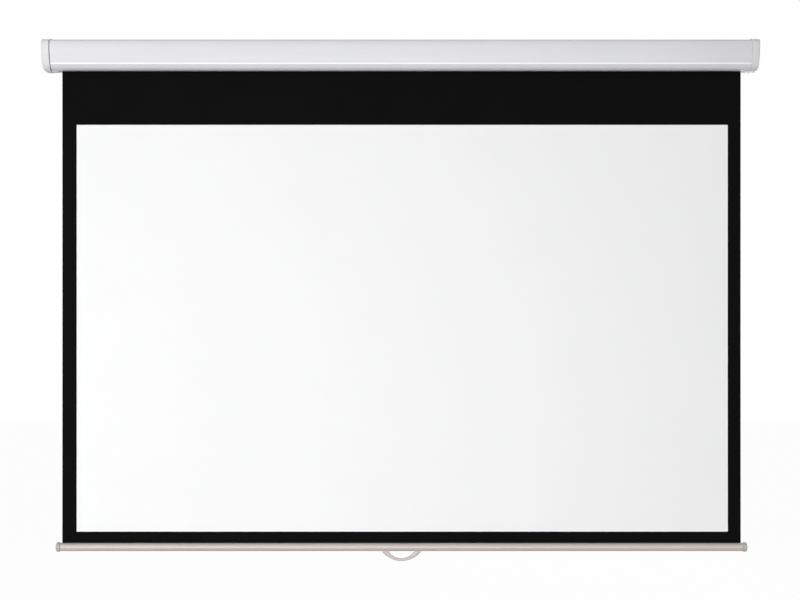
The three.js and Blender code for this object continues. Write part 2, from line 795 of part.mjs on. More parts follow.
// Bow handle: thick arms that thin towards the grip, with a tongue on each arm for its pivot pin
function pullHandle() {
  const sag = (halfChord, drop) => {
    const radius = (halfChord ** 2 + drop ** 2) / (2 * drop);
    return { radius, centreZ: radius - drop, sweep: Math.asin(Math.min(1, halfChord / radius)) };
  };
  const outer = sag(handleChord / 2, handleDrop);
  const inner = sag(handleChord / 2 - handleArm, handleDrop - handleGrip);
  const bow = new THREE.Shape();
  bow.absarc(0, outer.centreZ, outer.radius, -quarter - outer.sweep, -quarter + outer.sweep, false);
  bow.absarc(0, inner.centreZ, inner.radius, -quarter + inner.sweep, -quarter - inner.sweep, true);
  const depth = handleThickness - 2 * handleBevel;
  const rounded = {
    depth,
    bevelThickness: handleBevel,
    bevelSize: handleBevel,
    bevelOffset: -handleBevel,
    bevelSegments: 3,
    curveSegments: arcSteps,
  };
  const bent = new THREE.ExtrudeGeometry(bow, rounded).translate(0, 0, -depth / 2).rotateX(quarter);
  const shoulderZ = -barRadius - handleGap;
  let handle = solidOf(bent.translate(0, 0, shoulderZ));
  for (const side of [-1, 1]) {
    const x = side * armCentre;
    const [low, high] = [x - tongueWidth / 2, x + tongueWidth / 2];
    const halfY = tongueThickness / 2;
    const post = block(
      new THREE.Vector3(low, -halfY, shoulderZ - handleBevel - handleGap),
      new THREE.Vector3(high, halfY, handlePivotZ),
    );
    const head = rodAlongX(tongueTop, low, high, 0, handlePivotZ, roundSides);
    const crown = block(
      new THREE.Vector3(low, -halfY, handlePivotZ - tongueTop),
      new THREE.Vector3(high, halfY, handlePivotZ + tongueTop),
    );
    handle = handle.add(post).add(head.intersect(crown));
    handle = handle.subtract(
      rodAlongX(pivotRadius + runningGap, low - cutOverrun, high + cutOverrun, 0, handlePivotZ),
    );
  }
  return handle;
}

// Weight bar: a tube with a slot on top for the hem and two slots below for the handle's tongues
function weightBar() {
  const shape = new THREE.Shape();
  const mouth = (radius) => Math.asin(barSlot / 2 / radius);
  shape.absarc(0, 0, barRadius, quarter + mouth(barRadius), 5 * quarter - mouth(barRadius), false);
  shape.absarc(0, 0, barBore, 5 * quarter - mouth(barBore), quarter + mouth(barBore), true);
  let bar = alongX(shape, -barLength / 2, barLength / 2, tubeSides / 2);
  for (const side of [-1, 1]) {
    const halfX = tongueWidth / 2 + tongueGap;
    bar = bar.subtract(
      block(
        new THREE.Vector3(side * armCentre - halfX, -handleSlot / 2, -barRadius - cutOverrun),
        new THREE.Vector3(side * armCentre + halfX, handleSlot / 2, -barBore + barWall),
      ),
    );
  }
  return bar;
}

// End cap of the bar, x = 0 at the bar's end and +x outward: a rim, a domed nose and a half-round plug
function barCap() {
  const profile = [[seatGap, 0], [seatGap, barCapRadius], [barCapRim, barCapRadius]];
  for (let i = 1; i <= smallCornerSteps; i += 1) {
    const angle = (i / smallCornerSteps) * quarter;
    const x = barCapRim + (barCapLength - barCapRim) * Math.sin(angle);
    profile.push([x, barCapNose + (barCapRadius - barCapNose) * Math.cos(angle)]);
  }
  profile.push([barCapLength, 0]);
  const plugRound = rodAlongX(barBore - seatGap, -barPlugLength, 2 * seatGap, 0, 0, roundSides);
  const plugSpace = block(
    new THREE.Vector3(-barPlugLength, -barBore, -barBore),
    new THREE.Vector3(2 * seatGap, barBore, barPlugTop),
  );
  return turned(profile).add(plugRound.intersect(plugSpace));
}

// Lower border: the black strip with its hem wound round the spline inside the bar
const hemRadius = splineRadius + seatGap + backingThickness;
const splineZ = barBore - seatGap - hemRadius;
function lowerStrip() {
  const half = backingThickness / 2;
  const meet = Math.asin(half / hemRadius);
  const top = viewBottom - seatGap - barZ;
  const shape = new THREE.Shape();
  shape.moveTo(-half, top);
  shape.absarc(0, splineZ, hemRadius, quarter + meet, 5 * quarter - meet, false);
  shape.lineTo(half, top);
  shape.closePath();
  const loop = new THREE.Path();
  loop.absarc(0, splineZ, splineRadius + seatGap, 0, 2 * Math.PI, false);
  shape.holes.push(loop);
  return alongX(shape, -sheetWidth / 2, sheetWidth / 2);
}

// Half-round block inside the bar: a pocket for the handle's tongue and a hole for its pin
function handleCradle() {
  const radius = barBore - seatGap;
  const round = rodAlongX(radius, -cradleLength / 2, cradleLength / 2, 0, 0, tubeSides);
  const half = block(
    new THREE.Vector3(-cradleLength / 2, -radius, -radius),
    new THREE.Vector3(cradleLength / 2, radius, cradleTop),
  );
  const pocketHalf = tongueWidth / 2 + tongueGap;
  const pocket = block(
    new THREE.Vector3(-pocketHalf, -radius, -radius - cutOverrun),
    new THREE.Vector3(pocketHalf, radius, cradleTop - cradleBridge),
  );
  const bore = rodAlongX(pivotRadius + runningGap, -cradleLength, cradleLength, 0, handlePivotZ);
  return round.intersect(half).subtract(pocket).subtract(bore);
}

// Case with its two ends
const screen = new THREE.Group();
const rightEnd = placed(caseEndPieces('right', rightCapGap, bushCut()), caseEnd, 0, 0);
const leftEnd = placed(caseEndPieces('left', leftCapGap, tangCut()), -caseEnd, 0, 0);
leftEnd.scale.x = -1;
screen.add(named('case_housing', caseHousing(), whitePaint()), rightEnd, leftEnd);

// Roller assembly on its axis, with the fixed spindle and spring inside it
const roller = placed(new THREE.Group(), 0, rollerY, rollerZ);
roller.add(named('roller_tube', rollerTube(), zincSteel()));
roller.add(named('fabric_turns', fabricTurns(), blackFabric()));
const leftWorks = placed(new THREE.Group(), -leftPlugFace, 0, 0);
leftWorks.scale.x = -1;
leftWorks.add(named('left_roller_plug', leftRollerPlug(), greyMoulding()));
leftWorks.add(named('spindle', spindle(), darkSteel()));
leftWorks.add(named('spindle_bush', spindleBush(), nylon()));
leftWorks.add(placed(named('ratchet_collar', ratchetCollar(), darkSteel()), collarFace - leftPlugFace, 0, 0));
leftWorks.add(named('torsion_spring', torsionSpring(), springSteel()));
leftWorks.add(named('spring_anchor', springAnchor(), darkSteel()));
leftWorks.add(named('bearing_plug', bearingPlug(), greyMoulding()));
[['upper', 0], ['lower', Math.PI]].forEach(([which, turn]) => {
  const pair = new THREE.Group();
  pair.rotation.x = turn;
  pair.add(placed(named(`${which}_pawl`, pawl(), zincSteel()), collarGap + collarLength / 2, 0, 0));
  pair.add(placed(named(`${which}_pawl_stud`, pawlStud(), darkSteel()), 0, pawlPivot.x, pawlPivot.y));
  leftWorks.add(pair);
});
const rightWorks = placed(new THREE.Group(), rightPlugFace, 0, 0);
const gudgeonBore = gudgeonRadius + runningGap;
const bushInner = caseEnd - rightPlugFace;
const gudgeonPin = rodAlongX(gudgeonRadius, -gudgeonDepth, gudgeonReach, 0, 0, roundSides);
rightWorks.add(named('right_roller_plug', rollerPlug(gudgeonRadius + seatGap, gudgeonDepth), greyMoulding()));
rightWorks.add(named('gudgeon_pin', gudgeonPin, darkSteel()));
rightWorks.add(
  named(
    'gudgeon_bush',
    turned([
      [bushInner - gudgeonBushRim, gudgeonBore],
      [bushInner - gudgeonBushRim, gudgeonBushFlange],
      [bushInner, gudgeonBushFlange],
      [bushInner, gudgeonBore + gudgeonBushWall],
      [bushInner + gudgeonBushReach, gudgeonBore + gudgeonBushWall],
      [bushInner + gudgeonBushReach, gudgeonBore],
    ]),
    nylon(),
  ),
);
roller.add(leftWorks, rightWorks);
screen.add(roller);

// Hanging sheet: the black backing and the white viewing face in front of it
const sheetTop = rollerZ - seatGap;
const backing = block(
  new THREE.Vector3(-sheetWidth / 2, -backingThickness / 2, viewBottom),
  new THREE.Vector3(sheetWidth / 2, backingThickness / 2, sheetTop),
);
const faceBack = -backingThickness / 2 - seatGap;
const face = block(
  new THREE.Vector3(-viewWidth / 2, faceBack - faceThickness, viewBottom),
  new THREE.Vector3(viewWidth / 2, faceBack, viewTop),
);
screen.add(placed(named('black_backing', backing, blackFabric()), sheetShift, sheetY, 0));
screen.add(placed(named('viewing_face', face, whiteFabric()), viewShift, sheetY, 0));

// Weight bar assembly
const bar = placed(new THREE.Group(), sheetShift, sheetY, barZ);
bar.add(named('weight_bar', weightBar(), satinAluminium()));
bar.add(named('lower_border', lowerStrip(), blackFabric()));
const ballastEnd = barLength / 2 - barPlugLength - seatGap;
const spline = rodAlongX(splineRadius, -sheetWidth / 2, sheetWidth / 2, 0, splineZ);
bar.add(named('hem_spline', spline, nylon()));
for (const [side, sign] of [['left', -1], ['right', 1]]) {
  const cap = placed(named(`${side}_bar_cap`, barCap(), capMoulding()), (sign * barLength) / 2, 0, 0);
  cap.scale.x = sign;
  const cradle = named(`${side}_handle_cradle`, handleCradle(), greyMoulding());
  const pin = rodAlongX(pivotRadius, -pivotLength / 2, pivotLength / 2);
  const ballastStart = armCentre + cradleLength / 2 + seatGap;
  const ballast = rodAlongX(ballastRadius, ballastStart, ballastEnd, 0, 0, roundSides);
  const rod = named(`${side}_ballast_rod`, ballast, darkSteel());
  rod.scale.x = sign;
  bar.add(cap, placed(cradle, sign * armCentre, 0, 0), placed(rod, 0, 0, ballastRadius + seatGap - barBore));
  bar.add(placed(named(`${side}_handle_pin`, pin, zincSteel()), sign * armCentre, 0, handlePivotZ));
}
bar.add(named('pull_handle', pullHandle(), handleMoulding()));
screen.add(bar);

export default screen;
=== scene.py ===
import json
import math
from collections import namedtuple

import bmesh
import bpy
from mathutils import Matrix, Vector


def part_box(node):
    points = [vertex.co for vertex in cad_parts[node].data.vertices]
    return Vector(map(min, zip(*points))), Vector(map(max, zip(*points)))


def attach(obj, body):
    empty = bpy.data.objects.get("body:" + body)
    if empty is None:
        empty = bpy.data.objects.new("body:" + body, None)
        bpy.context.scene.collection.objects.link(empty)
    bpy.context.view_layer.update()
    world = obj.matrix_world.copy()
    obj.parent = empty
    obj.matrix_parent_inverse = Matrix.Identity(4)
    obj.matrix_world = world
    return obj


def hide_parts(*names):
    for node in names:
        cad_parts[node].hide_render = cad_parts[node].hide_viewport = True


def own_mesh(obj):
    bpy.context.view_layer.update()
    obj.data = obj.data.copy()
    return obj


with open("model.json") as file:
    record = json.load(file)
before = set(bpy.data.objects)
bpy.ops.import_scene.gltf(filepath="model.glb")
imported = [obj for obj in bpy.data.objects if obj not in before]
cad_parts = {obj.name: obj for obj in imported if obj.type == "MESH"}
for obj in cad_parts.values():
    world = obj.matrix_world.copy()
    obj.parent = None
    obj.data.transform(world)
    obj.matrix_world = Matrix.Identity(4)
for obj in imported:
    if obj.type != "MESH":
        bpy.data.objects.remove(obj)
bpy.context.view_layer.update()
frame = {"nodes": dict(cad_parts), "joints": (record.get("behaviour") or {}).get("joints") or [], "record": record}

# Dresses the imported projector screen: materials for every node, and finer skins for the case, its end caps,
# the cloth, the weight bar and the handle. X runs along the case, +Y points to the wall, and +Z is up.

MM = 0.001
QUARTER = math.pi / 2


# Places and sizes in metres. What the CAD holds is read from the frame, to the micrometre.


def corners(node):
    """Lowest and highest corner of a CAD node."""
    return [[round(value, 6) for value in corner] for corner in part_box(node)]


def middle_and_half(low, high):
    """Middle of a range and half its length."""
    return round((low + high) / 2, 7), round((high - low) / 2, 7)


joints = {joint["name"]: joint for joint in frame["joints"]}

# Case housing
case_low, case_high = corners("case_housing")
CASE_END = case_high[0]
CASE_DEPTH = -case_low[1]
CASE_LOW, CASE_TOP = case_low[2], case_high[2]
CASE_WALL = 1.2 * MM
BACK_RADIUS, TOP_FRONT_RADIUS, FACE_RADIUS = 3 * MM, 8 * MM, 130 * MM
FACE_FROM_TOP, BEAD_FROM_TOP = 12 * MM, 65 * MM
BEAD_RADIUS, BEAD_PROUD = 3.2 * MM, 0.9 * MM
SLOT_HALF, LIP_HEIGHT, LIP_EASE = 9 * MM, 7 * MM, 0.3 * MM

# Centres of the section's front arcs: the face and the lower front meet at the bead
TOP_FRONT_Y = TOP_FRONT_RADIUS - CASE_DEPTH
BEAD_TURN = math.asin((BEAD_FROM_TOP - FACE_FROM_TOP) / FACE_RADIUS)
BEAD_ANGLE = 2 * QUARTER + BEAD_TURN
LOW_FRONT_RADIUS = (CASE_TOP - CASE_LOW - BEAD_FROM_TOP) / (1 - math.sin(BEAD_TURN))
FACE_Y, FACE_Z = FACE_RADIUS - CASE_DEPTH, CASE_TOP - FACE_FROM_TOP
LOW_Y = FACE_Y - (FACE_RADIUS - LOW_FRONT_RADIUS) * math.cos(BEAD_TURN)
LOW_Z = FACE_Z - (FACE_RADIUS - LOW_FRONT_RADIUS) * math.sin(BEAD_TURN)

# End caps, which stand proud of the housing by a lip
CAP_LENGTH, CAP_WALL = 21 * MM, 2 * MM
CAP_LIP, CAP_LOW_LIP = 1 * MM, 1.8 * MM
CAP_ROUND, CAP_LOW_ROUND, CAP_FLAT_SHARE = 4 * MM, 9 * MM, 0.985
LEFT_CAP_GAP, RIGHT_CAP_GAP = 2.4 * MM, 0.5 * MM
FOOT_FRONT, FOOT_BACK = LOW_Y, -8 * MM
FOOT_REACH, FOOT_ROOT, FOOT_CORNER = 17 * MM, 1.4 * MM, 4 * MM
SCREW_DEPTH, TOP_SCREW_Y = 4.4 * MM, -14 * MM
RECESS_RADIUS, RECESS_START = 3.85 * MM, 8 * MM
FLANGE_OPENING_REACH, FLANGE_OPENING_DEPTH, FLANGE_OPENING_LOW = 19.3 * MM, 2.3 * MM, -30.3 * MM
CUT_OVERRUN = 5 * MM

# Hanging cloth
sheet_low, sheet_high = corners("black_backing")
view_low, view_high = corners("viewing_face")
SHEET_X, SHEET_HALF = middle_and_half(sheet_low[0], sheet_high[0])
SHEET_Y = middle_and_half(sheet_low[1], sheet_high[1])[0]
SHEET_TOP = sheet_high[2]
VIEW_X, VIEW_HALF = middle_and_half(view_low[0], view_high[0])
VIEW_LOW, VIEW_TOP = view_low[2], view_high[2]
CLOTH_THICK, VIEW_THICK = 0.4 * MM, 0.12 * MM
VIEW_PROUD = 0.18 * MM
# Curl of the side edges, the share of the half width where it starts, and the power that shapes its swell
CURL, CURL_START, SWELL_POWER = 1.3 * MM, 0.86, 0.8
# Height of each wave, how fast it runs across and down, and where it starts
WAVES = ((0.22 * MM, 7.3, 0.0, 0.6), (0.12 * MM, 17.0, 5.0, 0.0))

# Turns of cloth on the roller, and the lower border with its hem
ROLLER_Y, ROLLER_Z = joints["roller_spin"]["pos_m"][1:]
WRAP_RADIUS, WRAP_PITCH, WRAP_TURNS = 21.3 * MM, 0.9 * MM, 2
HEM_ABOVE_BAR, HEM_RADIUS, HEM_RUN_IN = 6.5 * MM, 3 * MM, 0.8 * MM
BORDER_GAP = 0.02 * MM

# Weight bar and pull handle
left_cap_low, _ = corners("left_bar_cap")
_, right_cap_high = corners("right_bar_cap")
bar_low, bar_high = corners("weight_bar")
BAR_X, BAR_HALF = middle_and_half(bar_low[0], bar_high[0])
BAR_Z = middle_and_half(left_cap_low[2], right_cap_high[2])[0]
BAR_RADIUS, BAR_BORE, BAR_SLOT = 11.5 * MM, 10 * MM, 3 * MM
PIVOT_Z = joints["handle_swing"]["pos_m"][2]
HANDLE_TOP = BAR_Z - BAR_RADIUS - 1 * MM
HANDLE_OUTSIDE, HANDLE_INSIDE = (55 * MM, 26.5 * MM), (35 * MM, 18.7 * MM)
HANDLE_THICK, HANDLE_POWER = 8 * MM, 0.72
TONGUE_FROM_MIDDLE, TONGUE_WIDTH, TONGUE_THICK = 45 * MM, 14 * MM, 5 * MM
TONGUE_ABOVE_PIVOT, TONGUE_INTO_ARM = 3 * MM, 1.2 * MM
TONGUE_GAP, TONGUE_SLOT_HALF, TONGUE_SLOT_TOP = 0.6 * MM, 6 * MM, BAR_Z - 8.6 * MM
PIN_HOLE_RADIUS = 1.75 * MM

# Floor, room, and camera with its lens and sensor in millimetres
FLOOR_Z, FLOOR_HALF = -2.05, 14
FLOOR_COLOUR, FLOOR_GLOW_SHARE = (0.4, 0.4, 0.4, 1.0), 0.975
ROOM_COLOUR, ROOM_STRENGTH, CEILING_STRENGTH = (0.97, 0.98, 1.0, 1.0), 0.36, 0.18
WHITE = (1.0, 1.0, 1.0, 1.0)
CAMERA_PLACE, CAMERA_LENS, CAMERA_SENSOR = (-0.0027, -4.5244, -0.675), 72.95, 36.0

SIDES = (("left", -1), ("right", 1))


# Materials

WAVE_SPACING = 0.31416  # between the bands of a wave texture of scale 1


class Nodes:
    """A node tree, with short calls for the nodes used here."""

    def __init__(self, tree):
        self.tree = tree

    def add(self, kind, **settings):
        node = self.tree.nodes.new(kind)
        for key, value in settings.items():
            setattr(node, key, value)
        return node

    def link(self, out, socket):
        self.tree.links.new(out, socket)

    def remap(self, fac, low, high, start, end):
        """low to high, as fac goes from start to end."""
        node = self.add("ShaderNodeMapRange")
        for key, value in (("From Min", start), ("From Max", end), ("To Min", low), ("To Max", high)):
            node.inputs[key].default_value = value
        self.link(fac, node.inputs["Value"])
        return node.outputs["Result"]

    def math(self, operation, a, b):
        node = self.add("ShaderNodeMath", operation=operation)
        for socket, value in zip(node.inputs, (a, b)):
            if isinstance(value, float):
                socket.default_value = value
            else:
                self.link(value, socket)
        return node.outputs["Value"]

    def backdrop_rays(self):
        """1 for the rays that show what is behind the object, also in a reflection or through glass."""
        path = self.add("ShaderNodeLightPath")
        seen = path.outputs["Is Camera Ray"]
        for kind in ("Is Glossy Ray", "Is Transmission Ray"):
            seen = self.math("MAXIMUM", seen, path.outputs[kind])
        return seen

    def show(self, fac, first, second, output):
        """Mixes two shaders, first at fac 0 and second at fac 1, into the tree's output node."""
        node = self.add("ShaderNodeMixShader")
        for socket, value in zip(node.inputs, (fac, first, second)):
            self.link(value, socket)
        self.link(node.outputs["Shader"], self.tree.nodes[output].inputs["Surface"])


class Surface(Nodes):
    """A new material's node tree, with its shader and its texture coordinates."""

    def __init__(self, name):
        self.material = bpy.data.materials.new(name)
        self.material.use_nodes = True
        super().__init__(self.material.node_tree)
        self.shader = self.tree.nodes["Principled BSDF"]
        self.place = self.add("ShaderNodeTexCoord").outputs["Object"]

    def stretched(self, *scale):
        mapping = self.add("ShaderNodeMapping")
        mapping.inputs["Scale"].default_value = scale
        self.link(self.place, mapping.inputs["Vector"])
        return mapping.outputs["Vector"]

    def noise(self, scale, detail, rough=0.5, vector=None):
        node = self.add("ShaderNodeTexNoise")
        node.inputs["Scale"].default_value = scale
        node.inputs["Detail"].default_value = detail
        node.inputs["Roughness"].default_value = rough
        self.link(vector or self.place, node.inputs["Vector"])
        return node.outputs["Fac"]

    def wave(self, scale, direction, distortion):
        node = self.add("ShaderNodeTexWave", bands_direction=direction)
        node.inputs["Scale"].default_value = scale
        node.inputs["Distortion"].default_value = distortion
        self.link(self.place, node.inputs["Vector"])
        return node.outputs["Fac"]

    def tinted(self, fac, colour, contrast, start=0.3, end=0.7):
        """The colour, from darker to lighter by its contrast as fac goes from start to end."""
        node = self.add("ShaderNodeValToRGB")
        for element, position, change in zip(node.color_ramp.elements, (start, end), (-contrast, contrast)):
            element.position = position
            element.color = (*(min(1.0, value * (1 + change)) for value in colour), 1.0)
        self.link(fac, node.inputs["Fac"])
        return node.outputs["Color"]

    def bump(self, *layers):
        """Each layer is (height, strength, distance)."""
        previous = None
        for height, strength, distance in layers:
            node = self.add("ShaderNodeBump")
            node.inputs["Strength"].default_value = strength
            node.inputs["Distance"].default_value = distance
            self.link(height, node.inputs["Height"])
            if previous:
                self.link(previous, node.inputs["Normal"])
            previous = node.outputs["Normal"]
        self.link(previous, self.shader.inputs["Normal"])

    def finish(self, colour, roughness, **values):
        """The material, with colour and roughness linked and other values set on the shader's sockets."""
        self.link(colour, self.shader.inputs["Base Color"])
        self.link(roughness, self.shader.inputs["Roughness"])
        for key, value in values.items():
            self.shader.inputs[key.replace("_", " ")].default_value = value
        return self.material


def linear(*levels):
    """Linear colour of red, green and blue levels from 0 to 255."""
    shares = [level / 255 for level in levels]
    return tuple(v / 12.92 if v <= 0.04045 else ((v + 0.055) / 1.055) ** 2.4 for v in shares)


def powder_coat(name, colour):
    """Painted sheet metal, with orange peel under a thin clear coat."""
    n = Surface(name)
    base = n.tinted(n.noise(2.2, detail=4.0, rough=0.55), colour, contrast=0.018)
    dull = n.remap(n.noise(14.0, detail=4.0, rough=0.6), 0.33, 0.41, start=0.3, end=0.7)
    n.bump((n.noise(900.0, detail=2.0), 0.12, 0.12 * MM), (n.noise(60.0, detail=2.0), 0.05, 0.3 * MM))
    return n.finish(base, dull, Coat_Weight=0.35, Coat_Roughness=0.22, IOR=1.5)


def moulding(name, colour, rough, coat=0.0):
    """Moulded plastic with a fine grain."""
    n = Surface(name)
    base = n.tinted(n.noise(9.0, detail=4.0, rough=0.6), colour, contrast=0.03)
    dull = n.remap(n.noise(40.0, detail=4.0, rough=0.6), *rough, start=0.3, end=0.7)
    grain = n.noise(1400.0, detail=3.0, rough=0.6)
    n.bump((grain, 0.18, 0.12 * MM), (n.noise(120.0, detail=2.0), 0.04, 0.3 * MM))
    return n.finish(base, dull, Coat_Weight=coat, Coat_Roughness=0.2)


def brushed(name, colour, metallic, rough=(0.3, 0.42)):
    """Metal with fine lines along X."""
    n = Surface(name)
    lines = n.noise(1.0, detail=3.0, rough=0.6, vector=n.stretched(4.0, 1400.0, 1400.0))
    patches = n.noise(7.0, detail=3.0)
    mixed = n.math("ADD", n.math("MULTIPLY", lines, 0.6), n.math("MULTIPLY", patches, 0.4))
    base = n.tinted(mixed, colour, contrast=0.06, start=0.35, end=0.65)
    n.bump((lines, 0.12, 0.08 * MM))
    return n.finish(base, n.remap(mixed, *rough, start=0.35, end=0.65), Metallic=metallic)


def zinc(name, colour, spangles):
    """Zinc-plated steel, with this many spangles to a metre."""
    n = Surface(name)
    cells = n.add("ShaderNodeTexVoronoi")
    cells.inputs["Scale"].default_value = spangles
    n.link(n.place, cells.inputs["Vector"])
    base = n.tinted(cells.outputs["Distance"], colour, contrast=0.12, start=0.1)
    dull = n.remap(n.noise(60.0, detail=3.0), 0.28, 0.46, start=0.3, end=0.7)
    n.bump((n.noise(700.0, detail=3.0), 0.1, 0.1 * MM))
    return n.finish(base, dull, Metallic=0.9)


def coated_cloth(name, colour, weave, contrast, rough, depth, shine):
    """Woven cloth under a coating, with threads a weave apart."""
    n = Surface(name)
    scale = WAVE_SPACING / weave
    threads = n.math("MAXIMUM", n.wave(scale, "X", 0.4), n.wave(scale, "Z", 0.4))
    mottle = n.noise(5.0, detail=5.0, rough=0.6)
    base = n.tinted(mottle, colour, contrast)
    n.bump((threads, depth, 0.12 * MM), (n.noise(1500.0, detail=2.0), 0.15, 0.08 * MM))
    return n.finish(base, n.remap(mottle, *rough, start=0.3, end=0.7), Specular_IOR_Level=shine)


CASE_WHITE = powder_coat("case_powder_coat", linear(216, 216, 219))
# the bead's coat is much lighter than the case's: a painted highlight along the bead
BEAD_PAINTED_HIGHLIGHT = powder_coat("bead_painted_highlight", linear(253, 253, 254))
CAP_WHITE = moulding("end_cap_moulding", linear(220, 220, 222), rough=(0.36, 0.46))
BAR_METAL = brushed("bar_satin_metal", linear(188, 180, 173), metallic=0.3, rough=(0.44, 0.58))
BAR_CAP = moulding("bar_cap_moulding", linear(188, 178, 172), rough=(0.34, 0.44))
HANDLE = moulding("handle_moulding", linear(196, 186, 179), rough=(0.28, 0.38), coat=0.3)
BLACK_CLOTH = coated_cloth("black_cloth", (0.0024, 0.0022, 0.0023), weave=0.9 * MM,
                           contrast=0.18, rough=(0.7, 0.82), depth=0.45, shine=0.05)
WHITE_VIEW = coated_cloth("matt_white_surface", (0.95, 0.95, 0.95), weave=0.7 * MM,
                          contrast=0.006, rough=(0.86, 0.95), depth=0.12, shine=0.2)
ZINC = zinc("zinc_plate", linear(190, 194, 198), spangles=120.0)
# the brackets are darker than zinc plating: dark steel, darkened further as painted shade in the joints beside the
# end caps
BRACKET_DARK_STEEL_AND_SHADE = zinc("bracket_dark_steel_and_painted_shade", linear(84, 85, 88), spangles=90.0)
ROLLER_STEEL = brushed("roller_tube_steel", linear(196, 199, 203), metallic=0.9)
DARK_STEEL = brushed("oiled_steel", linear(120, 122, 126), metallic=0.9)
SPRING_STEEL = brushed("spring_steel", linear(98, 101, 106), metallic=0.9)
NYLON = moulding("natural_nylon", linear(236, 232, 220), rough=(0.42, 0.52))
GREY_PLUG = moulding("grey_plug_moulding", linear(150, 150, 148), rough=(0.4, 0.5))

SLOT_LOOKS = {
    "zinc_steel": ZINC,
    "dark_steel": DARK_STEEL,
    "spring_steel": SPRING_STEEL,
    "nylon": NYLON,
    "grey_moulding": GREY_PLUG,
    "white_paint": CASE_WHITE,
    "white_moulding": CAP_WHITE,
    "satin_aluminium": BAR_METAL,
    "handle_moulding": HANDLE,
    "cap_moulding": BAR_CAP,
    "black_fabric": BLACK_CLOTH,
    "white_fabric": WHITE_VIEW,
}
NODE_LOOKS = {
    "left_end_bracket": BRACKET_DARK_STEEL_AND_SHADE,
    "right_end_bracket": BRACKET_DARK_STEEL_AND_SHADE,
    "roller_tube": ROLLER_STEEL,
}

for subpart in frame["record"]["subparts"]:
    name = subpart["node"]
    materials = frame["nodes"][name].data.materials
    materials.clear()
    materials.append(NODE_LOOKS.get(name, SLOT_LOOKS[subpart["material_slot"]]))


# Mesh helpers


def evenly(low, high, count):
    """Values from low to high in count even steps."""
    return [low + (high - low) * i / count for i in range(count + 1)]


def arc_points(centre, radius, first, last, count):
    """Points of a flat arc, its angles taken from the first axis to the second."""
    return [(centre[0] + radius * math.cos(turn), centre[1] + radius * math.sin(turn))
            for turn in evenly(first, last, count)]


def circle(x, radius, y, z, sides):
    """A ring of points round the X direction."""
    return [Vector((x, *point)) for point in arc_points((y, z), radius, 0.0, 4 * QUARTER, sides)[:-1]]


def new_piece(name, bm, *materials, sharp=35.0):
    """A mesh object from bm, smooth-shaded except where faces meet at more than the sharp angle."""
    bmesh.ops.remove_doubles(bm, verts=bm.verts, dist=1e-7)
    bmesh.ops.recalc_face_normals(bm, faces=bm.faces)
    mesh = bpy.data.meshes.new(name)
    bm.to_mesh(mesh)
    bm.free()
    piece = bpy.data.objects.new(name, mesh)
    bpy.context.scene.collection.objects.link(piece)
    for material in materials:
        mesh.materials.append(material)
    mesh.shade_smooth()
    mesh.set_sharp_from_angle(angle=math.radians(sharp))
    return piece


def skin(rings, capped=True):
    """A bmesh of rings of points, joined with quads, and closed at both ends where it is capped."""
    bm = bmesh.new()
    rows = [[bm.verts.new(p) for p in ring] for ring in rings]
    count = len(rows[0])
    for a, b in zip(rows, rows[1:]):
        for i in range(count):
            j = (i + 1) % count
            bm.faces.new((a[i], a[j], b[j], b[i]))
    if capped:
        bm.faces.new(list(reversed(rows[0])))
        bm.faces.new(rows[-1])
    return bm


def prism(outline, xs):
    """A bmesh of a (y, z) outline, repeated at each place along X."""
    return skin([[Vector((x, y, z)) for y, z in outline] for x in xs])


def box_cutter(low, high):
    plan = ((low[0], low[1]), (high[0], low[1]), (high[0], high[1]), (low[0], high[1]))
    return new_piece("cutter", skin([[Vector((x, y, z)) for x, y in plan] for z in (low[2], high[2])]))


def rod_cutter(radius, start, end, y, z):
    return new_piece("cutter", skin([circle(x, radius, y, z, 48) for x in (start, end)]))


def cut(piece, cutters, sharp=35.0):
    """Cuts the cutters' shapes out of the piece, and deletes them."""
    for cutter in cutters:
        modifier = piece.modifiers.new("cut", "BOOLEAN")
        modifier.operation = "DIFFERENCE"
        modifier.solver = "MANIFOLD"
        modifier.object = cutter
    bpy.context.view_layer.update()
    uncut = piece.data
    result = bpy.data.meshes.new_from_object(piece.evaluated_get(bpy.context.evaluated_depsgraph_get()))
    piece.modifiers.clear()
    piece.data = result
    old_meshes = [uncut] + [cutter.data for cutter in cutters]
    for cutter in cutters:
        bpy.data.objects.remove(cutter)
    for mesh in old_meshes:
        bpy.data.meshes.remove(mesh)
    # the cutters leave an empty slot that no face uses
    while len(result.materials) > 1:
        result.materials.pop()
    result.shade_smooth()
    result.set_sharp_from_angle(angle=math.radians(sharp))


def stands_for(piece, node, body):
    """piece replaces a CAD node and rides on its body."""
    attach(piece, body)
    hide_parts(node)


# Case

Arc = namedtuple("Arc", "y z radius first last count")
# Anticlockwise round the section, as seen with the wall on the right
CASE_ARCS = [
    Arc(-BACK_RADIUS, CASE_LOW + BACK_RADIUS, BACK_RADIUS, -QUARTER, 0.0, 8),
    Arc(-BACK_RADIUS, CASE_TOP - BACK_RADIUS, BACK_RADIUS, 0.0, QUARTER, 8),
    Arc(TOP_FRONT_Y, CASE_TOP - TOP_FRONT_RADIUS, TOP_FRONT_RADIUS, QUARTER, 2 * QUARTER, 8),
    Arc(FACE_Y, FACE_Z, FACE_RADIUS, 2 * QUARTER, BEAD_ANGLE, 28),
    Arc(LOW_Y, LOW_Z, LOW_FRONT_RADIUS, BEAD_ANGLE, 3 * QUARTER, 28),
]
TOP_FRONT_ARC, LOW_FRONT_ARC = CASE_ARCS[2], CASE_ARCS[4]


